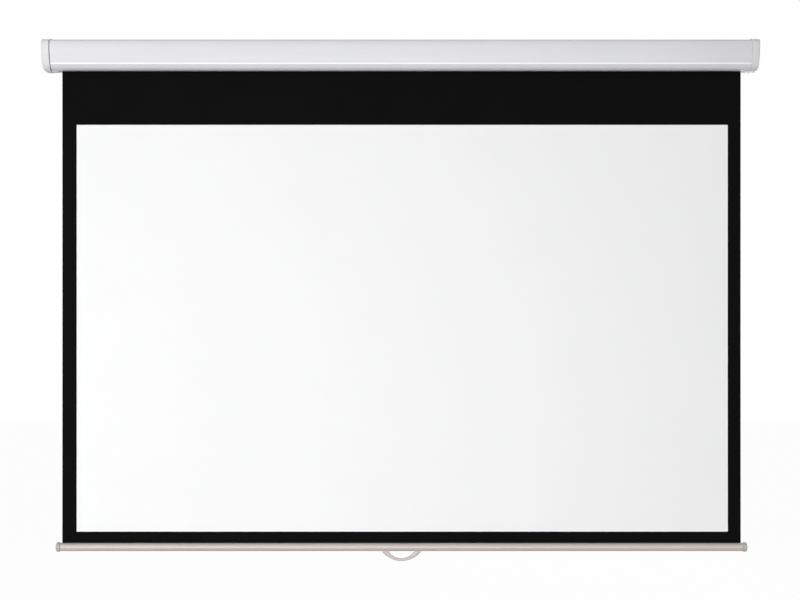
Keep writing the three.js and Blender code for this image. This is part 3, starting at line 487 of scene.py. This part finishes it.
def case_outline(front=0.0, back=0.0, top=0.0, bottom=0.0):
    """Points (y, z, normal y, normal z) round the case's section, each side moved in by its own inset."""
    points = []
    for arc in CASE_ARCS:
        angles = evenly(arc.first, arc.last, arc.count)
        if arc is LOW_FRONT_ARC:
            del angles[0]  # the face ends on that point
        for angle in angles:
            normal_y, normal_z = math.cos(angle), math.sin(angle)
            y = arc.y + normal_y * (arc.radius - (front if normal_y < 0 else back))
            z = arc.z + normal_z * (arc.radius - (top if normal_z > 0 else bottom))
            points.append((y, z, normal_y, normal_z))
    return points


def slot_lip(y, sign):
    """Lip with its slot side at y, from its root inside the case, over its top and down to the underside."""
    outline = (
        (CASE_WALL, CASE_WALL),
        (CASE_WALL, LIP_HEIGHT - LIP_EASE),
        (CASE_WALL - LIP_EASE, LIP_HEIGHT),
        (LIP_EASE, LIP_HEIGHT),
        (0.0, LIP_HEIGHT - LIP_EASE),
        (0.0, LIP_EASE),
        (LIP_EASE, 0.0),
    )
    return [(y + sign * across, CASE_LOW + up) for across, up in outline]


def bead_meeting(radius):
    """Where the bead meets an arc of that radius: its angle about the arc's centre and about the bead's."""
    away = radius + BEAD_PROUD - BEAD_RADIUS
    half = math.acos((radius**2 + away**2 - BEAD_RADIUS**2) / (2 * radius * away))
    return half, math.atan2(radius * math.sin(half), radius * math.cos(half) - away)


def case_section():
    """Outline of the rolled sheet, from the rear lip round its outside and inside, and the bead's sides."""
    reach = FACE_RADIUS + BEAD_PROUD - BEAD_RADIUS
    centre = (FACE_Y + reach * math.cos(BEAD_ANGLE), FACE_Z + reach * math.sin(BEAD_ANGLE))
    face_half, face_swing = bead_meeting(FACE_RADIUS)
    low_half, low_swing = bead_meeting(LOW_FRONT_RADIUS)
    bead = arc_points(centre, BEAD_RADIUS, BEAD_ANGLE - face_swing, BEAD_ANGLE + low_swing, 14)
    outside = []
    for arc in CASE_ARCS:
        if arc is LOW_FRONT_ARC:
            outside += bead
        for angle in evenly(arc.first, arc.last, arc.count):
            if not BEAD_ANGLE - face_half < angle < BEAD_ANGLE + low_half:
                outside.append((arc.y + arc.radius * math.cos(angle), arc.z + arc.radius * math.sin(angle)))
    inside = [(y, z) for y, z, _, _ in case_outline(CASE_WALL, CASE_WALL, CASE_WALL, CASE_WALL)]
    rear_lip = slot_lip(SHEET_Y + SLOT_HALF, 1)
    front_lip = slot_lip(SHEET_Y - SLOT_HALF, -1)
    section = rear_lip + outside + front_lip[::-1] + inside[::-1]
    first = section.index(bead[0])
    return section, range(first, first + len(bead) - 1)


def case_shell():
    section, bead_sides = case_section()
    bm = prism(section, (-CASE_END, CASE_END))
    bm.faces.ensure_lookup_table()
    # the bead's faces take the painted highlight, a coat much lighter than the case's
    for side in bead_sides:
        bm.faces[side].material_index = 1
    piece = new_piece("case_shell", bm, CASE_WHITE, BEAD_PAINTED_HIGHLIGHT, sharp=50.0)
    stands_for(piece, "case_housing", "case")


def behind(arc):
    """(y, z) at the screws' depth behind the middle of an arc of the section."""
    return arc_points((arc.y, arc.z), arc.radius - SCREW_DEPTH, arc.first, arc.last, 2)[1]


UNDER_TOP = (TOP_SCREW_Y, CASE_TOP - SCREW_DEPTH)
LOWER_REAR = (-SCREW_DEPTH, CASE_LOW + SCREW_DEPTH)
SCREW_PLACES = [behind(TOP_FRONT_ARC), UNDER_TOP, LOWER_REAR, behind(LOW_FRONT_ARC)]


def cap_rings(outline, mouth, end, sign):
    """Rings of an end cap's skin: its mouth, then a rounding at its end whose size follows each side."""
    rings = [[Vector((sign * (CASE_END + mouth), y, z)) for y, z, _, _ in outline]]
    for turn in evenly(0.0, QUARTER, 8):
        ring = []
        for y, z, normal_y, normal_z in outline:
            forward = max(0.0, -normal_y)
            rounding = forward**2 * CAP_ROUND + normal_z**2 * (CAP_ROUND if normal_z > 0 else CAP_LOW_ROUND)
            x = CASE_END + end - rounding * (1 - math.sin(turn))
            inset = rounding * (1 - math.cos(turn))
            ring.append(Vector((sign * x, y + forward * inset, z - normal_z * inset)))
        rings.append(ring)
    # a narrow flat rim keeps the rounding's shading off the flat end
    centre = sum(rings[-1], Vector()) / len(rings[-1])
    rings.append([centre + (p - centre) * CAP_FLAT_SHARE for p in rings[-1]])
    return rings


def screw_post(name, sign, y, z):
    """Hollow post that a screw's head seats on, seen at the bottom of its recess."""
    # (distance past the housing, radius) in millimetres, round the wall and the seat with its hole
    outline = ((2.7, 1.9), (2.7, 4.35), (16.5, 4.35), (16.5, 3.9), (5.6, 3.9), (5.6, 1.9), (2.7, 1.9))
    rings = [circle(sign * (CASE_END + x * MM), radius * MM, y, z, 48) for x, radius in outline]
    return new_piece(name, skin(rings, capped=False), CAP_WHITE)


def cap_foot(name, sign, gap):
    """Plate that reaches in under the housing and closes the end of its slot, with eased lower edges."""

    def plan(inset):
        root, radius = gap + FOOT_ROOT, FOOT_CORNER - inset
        points = [(root, FOOT_FRONT + inset), (root, FOOT_BACK - inset)]
        for y, first in ((FOOT_BACK - FOOT_CORNER, QUARTER), (FOOT_FRONT + FOOT_CORNER, 2 * QUARTER)):
            points += arc_points((FOOT_CORNER - FOOT_REACH, y), radius, first, first + QUARTER, 8)
        return points

    rings = []
    # (inset, distance under the housing) in millimetres, from the top of the plate to its bottom
    for inset, drop in ((0.0, 0.3), (0.0, 1.35), (0.12, 1.68), (0.45, 1.8)):
        z = CASE_LOW - drop * MM
        rings.append([Vector((sign * (CASE_END + x), y, z)) for x, y in plan(inset * MM)])
    return new_piece(name, skin(rings), CAP_WHITE)


def end_cap(side, sign, gap):
    """Hollow cap with a recess at each screw, and an opening at its back for the bracket's flange."""
    end = gap + CAP_LENGTH
    outside = case_outline(front=-CAP_LIP, top=-CAP_LIP, bottom=-CAP_LOW_LIP)
    inside = case_outline(CAP_WALL - CAP_LIP, CAP_WALL, CAP_WALL - CAP_LIP, CAP_WALL - CAP_LOW_LIP)
    rings = cap_rings(inside, gap, end - CAP_WALL, sign)[::-1] + cap_rings(outside, gap, end, sign)
    piece = new_piece(f"{side}_cap_shell", skin(rings), CAP_WHITE)
    start, stop = sorted((sign * (CASE_END + RECESS_START), sign * (CASE_END + end + CUT_OVERRUN)))
    cutters = [rod_cutter(RECESS_RADIUS, start, stop, y, z) for y, z in SCREW_PLACES]
    start, stop = sorted((sign * (CASE_END - CUT_OVERRUN), sign * (CASE_END + FLANGE_OPENING_REACH)))
    low = (start, -FLANGE_OPENING_DEPTH, FLANGE_OPENING_LOW)
    cutters.append(box_cutter(low, (stop, CUT_OVERRUN, CASE_TOP + CUT_OVERRUN)))
    cut(piece, cutters, sharp=30.0)
    for number, (y, z) in enumerate(SCREW_PLACES, 1):
        post = screw_post(f"{side}_screw_post_{number}", sign, y, z)
        post.parent = piece
    foot = cap_foot(f"{side}_cap_foot", sign, gap)
    foot.parent = piece
    stands_for(piece, f"{side}_end_cap", "case")


case_shell()
for (side, sign), gap in zip(SIDES, (LEFT_CAP_GAP, RIGHT_CAP_GAP)):
    end_cap(side, sign, gap)


# Cloth


def ripple(x, z):
    """How far the hanging cloth stands off its plane: flat at top and bottom, its side edges curled back."""
    down = min(1.0, max(0.0, (SHEET_TOP - z) / (SHEET_TOP - VIEW_LOW)))
    across = (x - SHEET_X) / SHEET_HALF
    curl = CURL * max(0.0, abs(across) - CURL_START) / (1 - CURL_START)
    waves = sum(height * math.sin(across * sideways + down * downwards + start)
                for height, sideways, downwards, start in WAVES)
    return math.sin(math.pi * down) ** SWELL_POWER * (curl + waves)


def cloth_slab(name, xs, zs, front, thickness, material):
    """A thin closed sheet over a grid, its front face at y = front and its back face a thickness behind."""
    bm = bmesh.new()
    grids = [[[bm.verts.new((x, front + depth + ripple(x, z), z)) for x in xs] for z in zs]
             for depth in (0.0, thickness)]
    rows, cols = len(zs) - 1, len(xs) - 1
    for layer, grid in enumerate(grids):
        for r in range(rows):
            for c in range(cols):
                quad = (grid[r][c], grid[r][c + 1], grid[r + 1][c + 1], grid[r + 1][c])
                bm.faces.new(quad if layer else quad[::-1])
    rim = [(0, c) for c in range(cols)] + [(r, cols) for r in range(rows)]
    rim += [(rows, c) for c in range(cols, 0, -1)] + [(r, 0) for r in range(rows, 0, -1)]
    for (r, c), (s, d) in zip(rim, rim[1:] + rim[:1]):
        bm.faces.new((grids[0][r][c], grids[0][s][d], grids[1][s][d], grids[1][r][c]))
    return new_piece(name, bm, material, sharp=60.0)


def hanging_cloth():
    """The black backing and the white view on it."""
    xs = evenly(SHEET_X - SHEET_HALF, SHEET_X + SHEET_HALF, 120)
    zs = evenly(SHEET_TOP, VIEW_LOW, 44)
    front = SHEET_Y - CLOTH_THICK / 2
    backing = cloth_slab("black_mask_and_backing", xs, zs, front, CLOTH_THICK, BLACK_CLOTH)
    xs = evenly(VIEW_X - VIEW_HALF, VIEW_X + VIEW_HALF, 116)
    zs = evenly(VIEW_TOP, VIEW_LOW, 38)
    view = cloth_slab("matt_white_view", xs, zs, front - VIEW_PROUD, VIEW_THICK, WHITE_VIEW)
    stands_for(backing, "black_backing", "case")
    stands_for(view, "viewing_face", "case")
    for piece in (backing, view):
        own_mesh(piece)


def cloth_strip(name, path, node, body):
    """Black cloth that follows a path of (y, z) points across the whole width."""
    sides = [[], []]
    for i, point in enumerate(path):
        before, after = path[max(0, i - 1)], path[min(len(path) - 1, i + 1)]
        along = Vector((after[0] - before[0], after[1] - before[1])).normalized()
        across = Vector((-along.y, along.x)) * CLOTH_THICK / 2
        sides[0].append((point[0] + across.x, point[1] + across.y))
        sides[1].append((point[0] - across.x, point[1] - across.y))
    outline = sides[0] + sides[1][::-1]
    xs = evenly(SHEET_X - SHEET_HALF, SHEET_X + SHEET_HALF, 4)
    piece = new_piece(name, prism(outline, xs), BLACK_CLOTH, sharp=50.0)
    stands_for(piece, node, body)


def wound_cloth():
    """Turns that stay on the roller: the outer one ends where the hanging cloth leaves it."""
    path = []
    for turns in evenly(0, WRAP_TURNS, WRAP_TURNS * 72):
        radius, angle = WRAP_RADIUS - WRAP_PITCH * turns, 2 * math.pi * turns
        path.append((ROLLER_Y + radius * math.cos(angle), ROLLER_Z + radius * math.sin(angle)))
    cloth_strip("wound_cloth", path, "fabric_turns", "roller")


def border_cloth():
    """The lower border, with its hem wound nearly all the way round the spline inside the bar."""
    hem_z = BAR_Z + HEM_ABOVE_BAR
    path = [(SHEET_Y, z) for z in evenly(VIEW_LOW - BORDER_GAP, hem_z + HEM_RADIUS + HEM_RUN_IN, 12)]
    step = 4 * QUARTER / 34
    path += arc_points((SHEET_Y, hem_z), HEM_RADIUS, QUARTER - step, QUARTER - 31 * step, 30)
    cloth_strip("lower_border_cloth", path, "lower_border", "bar")


hanging_cloth()
wound_cloth()
border_cloth()


# Weight bar


def bar_tube():
    """Round tube with a slot on top for the hem and two slots below for the handle's tongues."""

    def opened_circle(radius):
        mouth = math.asin(BAR_SLOT / 2 / radius)
        return arc_points((SHEET_Y, BAR_Z), radius, QUARTER + mouth, 5 * QUARTER - mouth, 110)

    section = opened_circle(BAR_RADIUS) + opened_circle(BAR_BORE)[::-1]
    piece = new_piece("bar_tube", prism(section, (BAR_X - BAR_HALF, BAR_X + BAR_HALF)), BAR_METAL)
    half_width = TONGUE_WIDTH / 2 + TONGUE_GAP
    cutters = []
    for _, sign in SIDES:
        x = BAR_X + sign * TONGUE_FROM_MIDDLE
        low = (x - half_width, SHEET_Y - TONGUE_SLOT_HALF, BAR_Z - BAR_RADIUS - CUT_OVERRUN)
        cutters.append(box_cutter(low, (x + half_width, SHEET_Y + TONGUE_SLOT_HALF, TONGUE_SLOT_TOP)))
    cut(piece, cutters)
    stands_for(piece, "weight_bar", "bar")


def bar_cap(side, sign):
    """Plug with a chamfered ring that stands proud of the tube, and a shallow dome on its end."""
    axis_radius = 0.02
    # (distance past the tube's end, radius) in millimetres: plug and joint gap, chamfer, then the ring
    profile = [(-2, axis_radius), (-2, 9.6), (0.75, 9.6)]
    profile += [(0.8, 12.0), (0.95, 12.3), (2.0, 13.35), (2.4, 13.5)]
    profile += [(8.3, 13.4), (8.9, 13.2), (9.3, 12.8), (9.4, 12.4)]
    ring_end, dome_height, dome_radius, dome_power = 9.4, 3.1, 12.1, 0.8
    for turn in evenly(0.0, QUARTER, 14):
        across = max(0.0, math.cos(turn)) ** dome_power
        profile.append((ring_end + dome_height * math.sin(turn), axis_radius + dome_radius * across))
    end = BAR_X + sign * BAR_HALF
    rings = [circle(end + sign * along * MM, radius * MM, SHEET_Y, BAR_Z, 72) for along, radius in profile]
    piece = new_piece(f"{side}_bar_cap_dome", skin(rings), BAR_CAP)
    stands_for(piece, f"{side}_bar_cap", "bar")


bar_tube()
for side, sign in SIDES:
    bar_cap(side, sign)


# Handle


def handle_arc(half, drop):
    """Radius, centre's height and half angle of an arc of that half chord and drop below the arms' ends."""
    radius = (half**2 + drop**2) / (2 * drop)
    return radius, HANDLE_TOP + radius - drop, math.asin(half / radius)


def squared(value):
    """Makes the section's ellipse squarer."""
    return math.copysign(abs(value) ** HANDLE_POWER, value)


def bow_ring(share):
    """The bow's section at a share of its sweep, from -1 at its left end to 1 at its right end."""
    outside, inside = [
        Vector((BAR_X + radius * math.sin(share * sweep), 0, centre_z - radius * math.cos(share * sweep)))
        for radius, centre_z, sweep in (handle_arc(*HANDLE_OUTSIDE), handle_arc(*HANDLE_INSIDE))
    ]
    middle, reach = (outside + inside) / 2, (outside - inside) / 2
    ring = []
    for turn in evenly(0.0, 4 * QUARTER, 28)[:-1]:
        point = middle + reach * squared(math.cos(turn))
        ring.append(Vector((point.x, SHEET_Y + HANDLE_THICK / 2 * squared(math.sin(turn)), point.z)))
    return ring


def rounded_end(ring, after):
    """Rings that round the edge where an arm ends under the bar, to take the place of its last ring."""
    centre = sum(ring, Vector()) / len(ring)
    rings = []
    for size, share_of_way in ((0.91, 0.0), (0.98, 0.16), (1.0, 0.5)):
        rings.append([(centre + (p - centre) * size).lerp(q, share_of_way) for p, q in zip(ring, after)])
    return rings


def handle_tongue(name, x):
    """Tongue that rises from an arm through the bar's slot, with a round top and a hole for its pin."""
    half, low, reach = TONGUE_THICK / 2, HANDLE_TOP - TONGUE_INTO_ARM, TONGUE_WIDTH / 2
    outline = [(SHEET_Y - half, low), (SHEET_Y + half, low)]
    for turn in evenly(0.0, 2 * QUARTER, 16):
        outline.append((SHEET_Y + half * math.cos(turn), PIVOT_Z + TONGUE_ABOVE_PIVOT * math.sin(turn)))
    tongue = new_piece(name, prism(outline, (x - reach, x + reach)), HANDLE)
    reach += CUT_OVERRUN
    cut(tongue, [rod_cutter(PIN_HOLE_RADIUS, x - reach, x + reach, SHEET_Y, PIVOT_Z)])
    return tongue


def bow_handle():
    """Bow with thick arms that thin towards the grip, its section a rounded oblong all the way round."""
    rings = [bow_ring(share) for share in evenly(-1.0, 1.0, 72)]
    left_end, right_end = rounded_end(rings[0], rings[1]), rounded_end(rings[-1], rings[-2])
    piece = new_piece("bow_handle", skin(left_end + rings[1:-1] + right_end[::-1]), HANDLE, sharp=50.0)
    for side, sign in SIDES:
        tongue = handle_tongue(f"{side}_handle_tongue", BAR_X + sign * TONGUE_FROM_MIDDLE)
        tongue.parent = piece
    stands_for(piece, "pull_handle", "handle")


bow_handle()


# Floor, light and camera


def stage_floor():
    """A pale floor that keeps the object's shadow, and shows almost white."""
    bm = bmesh.new()
    plan = ((-1, -1), (1, -1), (1, 1), (-1, 1))
    bm.faces.new([bm.verts.new((x * FLOOR_HALF, y * FLOOR_HALF, FLOOR_Z)) for x, y in plan])
    n = Surface("studio_floor")
    n.shader.inputs["Base Color"].default_value = FLOOR_COLOUR
    n.shader.inputs["Roughness"].default_value = 0.9
    glow = n.add("ShaderNodeEmission")
    glow.inputs["Color"].default_value = WHITE
    glow.inputs["Strength"].default_value = 1.0
    seen = n.math("MULTIPLY", n.backdrop_rays(), FLOOR_GLOW_SHARE)
    n.show(seen, n.shader.outputs["BSDF"], glow.outputs["Emission"], "Material Output")
    new_piece("studio_floor", bm, n.material)


def world_light():
    """Lights the object as a pale room that darkens towards its ceiling, and shows as plain white."""
    world = bpy.data.worlds.new("studio")
    bpy.context.scene.world = world
    world.use_nodes = True
    n = Nodes(world.node_tree)
    room = n.tree.nodes["Background"]
    room.inputs["Color"].default_value = ROOM_COLOUR
    direction = n.add("ShaderNodeSeparateXYZ")
    n.link(n.add("ShaderNodeTexCoord").outputs["Generated"], direction.inputs["Vector"])
    strength = n.remap(direction.outputs["Z"], ROOM_STRENGTH, CEILING_STRENGTH, start=0.0, end=0.8)
    n.link(strength, room.inputs["Strength"])
    white = n.add("ShaderNodeBackground")
    white.inputs["Color"].default_value = WHITE
    white.inputs["Strength"].default_value = 1.0
    n.show(n.backdrop_rays(), room.outputs["Background"], white.outputs["Background"], "World Output")


def area_light(name, place, target, width, height, power):
    data = bpy.data.lights.new(name, "AREA")
    data.shape = "RECTANGLE"
    data.size, data.size_y = width, height
    data.energy = power
    light = bpy.data.objects.new(name, data)
    bpy.context.scene.collection.objects.link(light)
    light.location = place
    light.rotation_euler = (Vector(target) - Vector(place)).to_track_quat("-Z", "Y").to_euler()


def photo_camera():
    """Looks straight at the screen from the photograph's distance and height."""
    data = bpy.data.cameras.new("camera")
    data.sensor_fit = "HORIZONTAL"
    data.sensor_width = CAMERA_SENSOR
    data.lens = CAMERA_LENS
    data.clip_end = 60
    camera = bpy.data.objects.new("camera", data)
    bpy.context.scene.collection.objects.link(camera)
    camera.location = CAMERA_PLACE
    camera.rotation_euler = (QUARTER, 0, 0)
    bpy.context.scene.camera = camera


stage_floor()
world_light()
area_light("key_left", (-3.2, -3.9, -0.4), (-0.3, 0, -0.6), width=2.0, height=2.0, power=78)
area_light("front_panel", (-0.2, -5.3, -0.4), (0.0, 0, -0.6), width=4.0, height=2.4, power=68)
area_light("low_front", (-0.2, -3.4, -1.8), (-0.1, 0, -0.05), width=3.4, height=0.35, power=36)
area_light("overhead", (0.0, 0.2, 2.2), (0, 0, 0), width=2.4, height=2.4, power=10)
area_light("back_fill", (1.2, 4.6, 0.3), (0, 0, -0.5), width=3.0, height=3.0, power=90)
area_light("side_fill", (4.0, 2.4, -0.2), (0.9, 0, -0.2), width=2.0, height=2.0, power=55)
photo_camera()
bpy.context.scene.view_settings.view_transform = "Standard"
